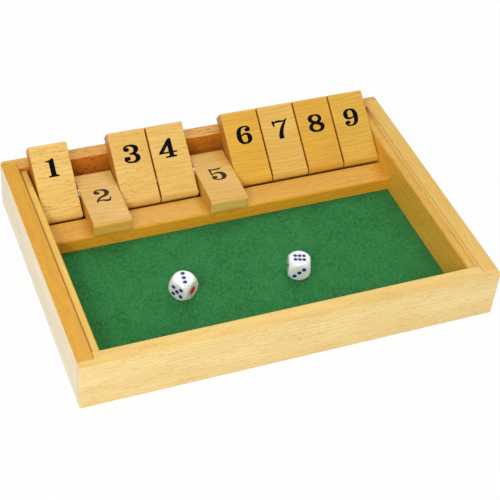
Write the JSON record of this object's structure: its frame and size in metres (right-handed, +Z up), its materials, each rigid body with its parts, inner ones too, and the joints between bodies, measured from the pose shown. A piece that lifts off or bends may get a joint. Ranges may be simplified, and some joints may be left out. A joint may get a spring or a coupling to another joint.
{
  "type": "shut the box game",
  "caption": "Shallow wooden dice tray with a felt floor and a row of numbered wooden flaps that tip over a steel rod onto a rest rail, with loose dice.",
  "frame": {"origin": "middle of the underside of the box, on the surface it stands on", "axes": "+X to the player's right along the long side, +Y towards the hinge rod at the back, +Z up"},
  "size_m": [0.285, 0.2, 0.0514],
  "materials": {
    "box_wood": "clear varnished beech",
    "liner_wood": "clear varnished beech",
    "rail_wood": "glossy varnished beech",
    "tile_wood": "satin varnished beech, black printed numerals on both faces",
    "board_wood": "bare plywood",
    "green_felt": "short-pile green felt",
    "steel": "bright drawn rod",
    "dice_plastic": "glossy white with painted pips"
  },
  "bodies": {
    "box": {"front_wall": "box_wood", "back_wall": "box_wood", "left_wall": "box_wood", "right_wall": "box_wood", "bottom_board": "board_wood", "felt_lining": "green_felt", "left_liner": "liner_wood", "right_liner": "liner_wood", "rest_rail": "rail_wood", "hinge_rod": "steel"},
    "flap_1": {"tile_1": "tile_wood"},
    "flap_2": {"tile_2": "tile_wood"},
    "flap_3": {"tile_3": "tile_wood"},
    "flap_4": {"tile_4": "tile_wood"},
    "flap_5": {"tile_5": "tile_wood"},
    "flap_6": {"tile_6": "tile_wood"},
    "flap_7": {"tile_7": "tile_wood"},
    "flap_8": {"tile_8": "tile_wood"},
    "flap_9": {"tile_9": "tile_wood"},
    "die_left_body": {"die_left": "dice_plastic"},
    "die_right_body": {"die_right": "dice_plastic"}
  },
  "joints": [
    {"name": "flap_1_hinge", "type": "hinge", "parent": "box", "child": "flap_1", "pos_m": [0, 0.0655, 0.0239], "axis": [1, 0, 0], "range_deg": [0, 142.9]},
    {"name": "flap_2_hinge", "type": "hinge", "parent": "box", "child": "flap_2", "pos_m": [0, 0.0655, 0.0239], "axis": [1, 0, 0], "range_deg": [-142.9, 0]},
    {"name": "flap_3_hinge", "type": "hinge", "parent": "box", "child": "flap_3", "pos_m": [0, 0.0655, 0.0239], "axis": [1, 0, 0], "range_deg": [0, 142.9]},
    {"name": "flap_4_hinge", "type": "hinge", "parent": "box", "child": "flap_4", "pos_m": [0, 0.0655, 0.0239], "axis": [1, 0, 0], "range_deg": [0, 142.9]},
    {"name": "flap_5_hinge", "type": "hinge", "parent": "box", "child": "flap_5", "pos_m": [0, 0.0655, 0.0239], "axis": [1, 0, 0], "range_deg": [-142.9, 0]},
    {"name": "flap_6_hinge", "type": "hinge", "parent": "box", "child": "flap_6", "pos_m": [0, 0.0655, 0.0239], "axis": [1, 0, 0], "range_deg": [0, 142.9]},
    {"name": "flap_7_hinge", "type": "hinge", "parent": "box", "child": "flap_7", "pos_m": [0, 0.0655, 0.0239], "axis": [1, 0, 0], "range_deg": [0, 142.9]},
    {"name": "flap_8_hinge", "type": "hinge", "parent": "box", "child": "flap_8", "pos_m": [0, 0.0655, 0.0239], "axis": [1, 0, 0], "range_deg": [0, 142.9]},
    {"name": "flap_9_hinge", "type": "hinge", "parent": "box", "child": "flap_9", "pos_m": [0, 0.0655, 0.0239], "axis": [1, 0, 0], "range_deg": [0, 142.9]},
    {"name": "die_left_lift", "type": "slide", "parent": "box", "child": "die_left_body", "axis": [0, 0, 1], "range_m": [0, 0.08]},
    {"name": "die_right_lift", "type": "slide", "parent": "box", "child": "die_right_body", "axis": [0, 0, 1], "range_m": [0, 0.08]}
  ]
}
